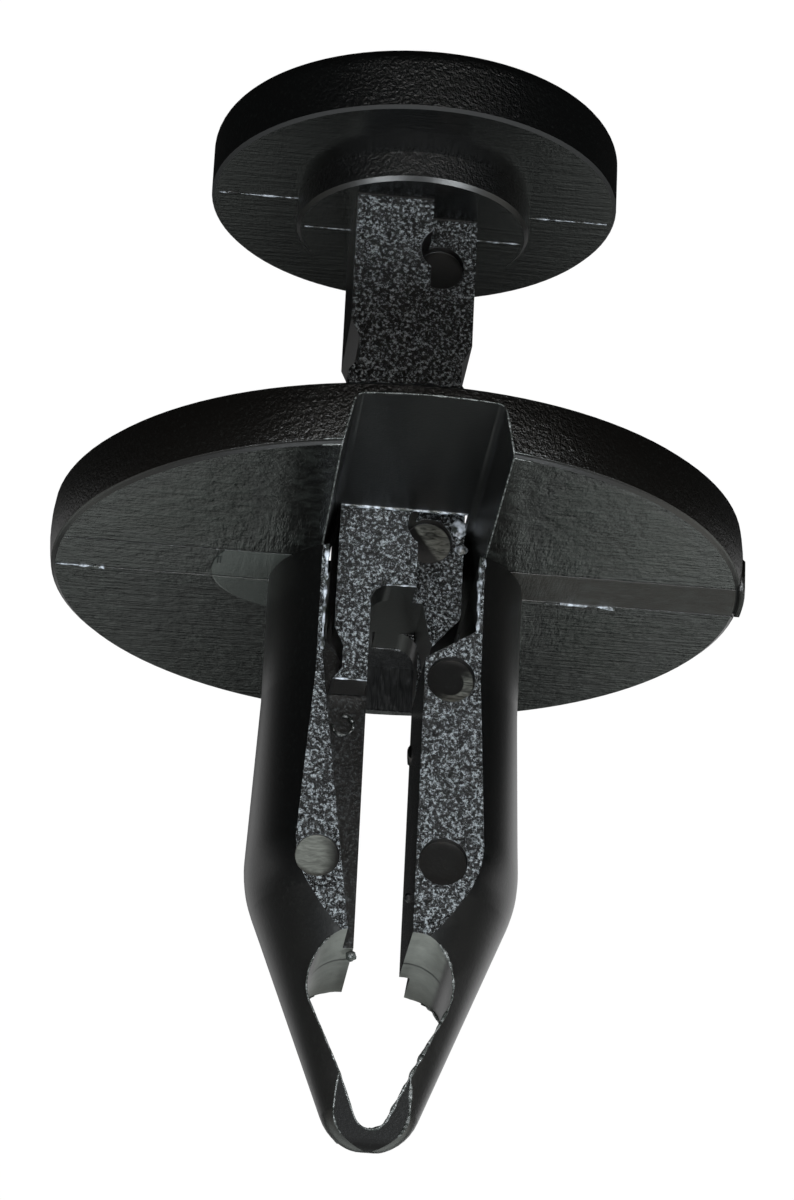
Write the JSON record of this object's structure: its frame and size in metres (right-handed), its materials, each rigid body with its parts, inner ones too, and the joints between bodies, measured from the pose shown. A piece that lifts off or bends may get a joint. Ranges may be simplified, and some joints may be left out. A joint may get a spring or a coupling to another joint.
{
  "type": "plastic push rivet",
  "caption": "Two-piece plastic push rivet: a round-headed pin slides through a wide flange into a split, tapered shank and spreads its legs behind the panel.",
  "frame": {"origin": "centre of the outer face of the pin's head, on which the rivet stands", "axes": "+Z along the rivet's axis, from the pin's head to the split tip; the open end of the flange's channel faces -Y; the two legs lie along X"},
  "size_m": [0.0262, 0.0262, 0.0411],
  "materials": {
    "pin_plastic": "black moulded nylon, spark-eroded texture on the shaft's flats",
    "body_plastic": "black moulded nylon, smooth under the flange, textured rim and leg flats"
  },
  "bodies": {
    "rivet_body": {"rivet_body": "body_plastic"},
    "push_pin": {"push_pin": "pin_plastic"}
  },
  "joints": [
    {"name": "pin_slide", "type": "slide", "parent": "rivet_body", "child": "push_pin", "axis": [0, 0, 1], "range_m": [0, 0.0127], "deforming": ["rivet_body"]}
  ]
}
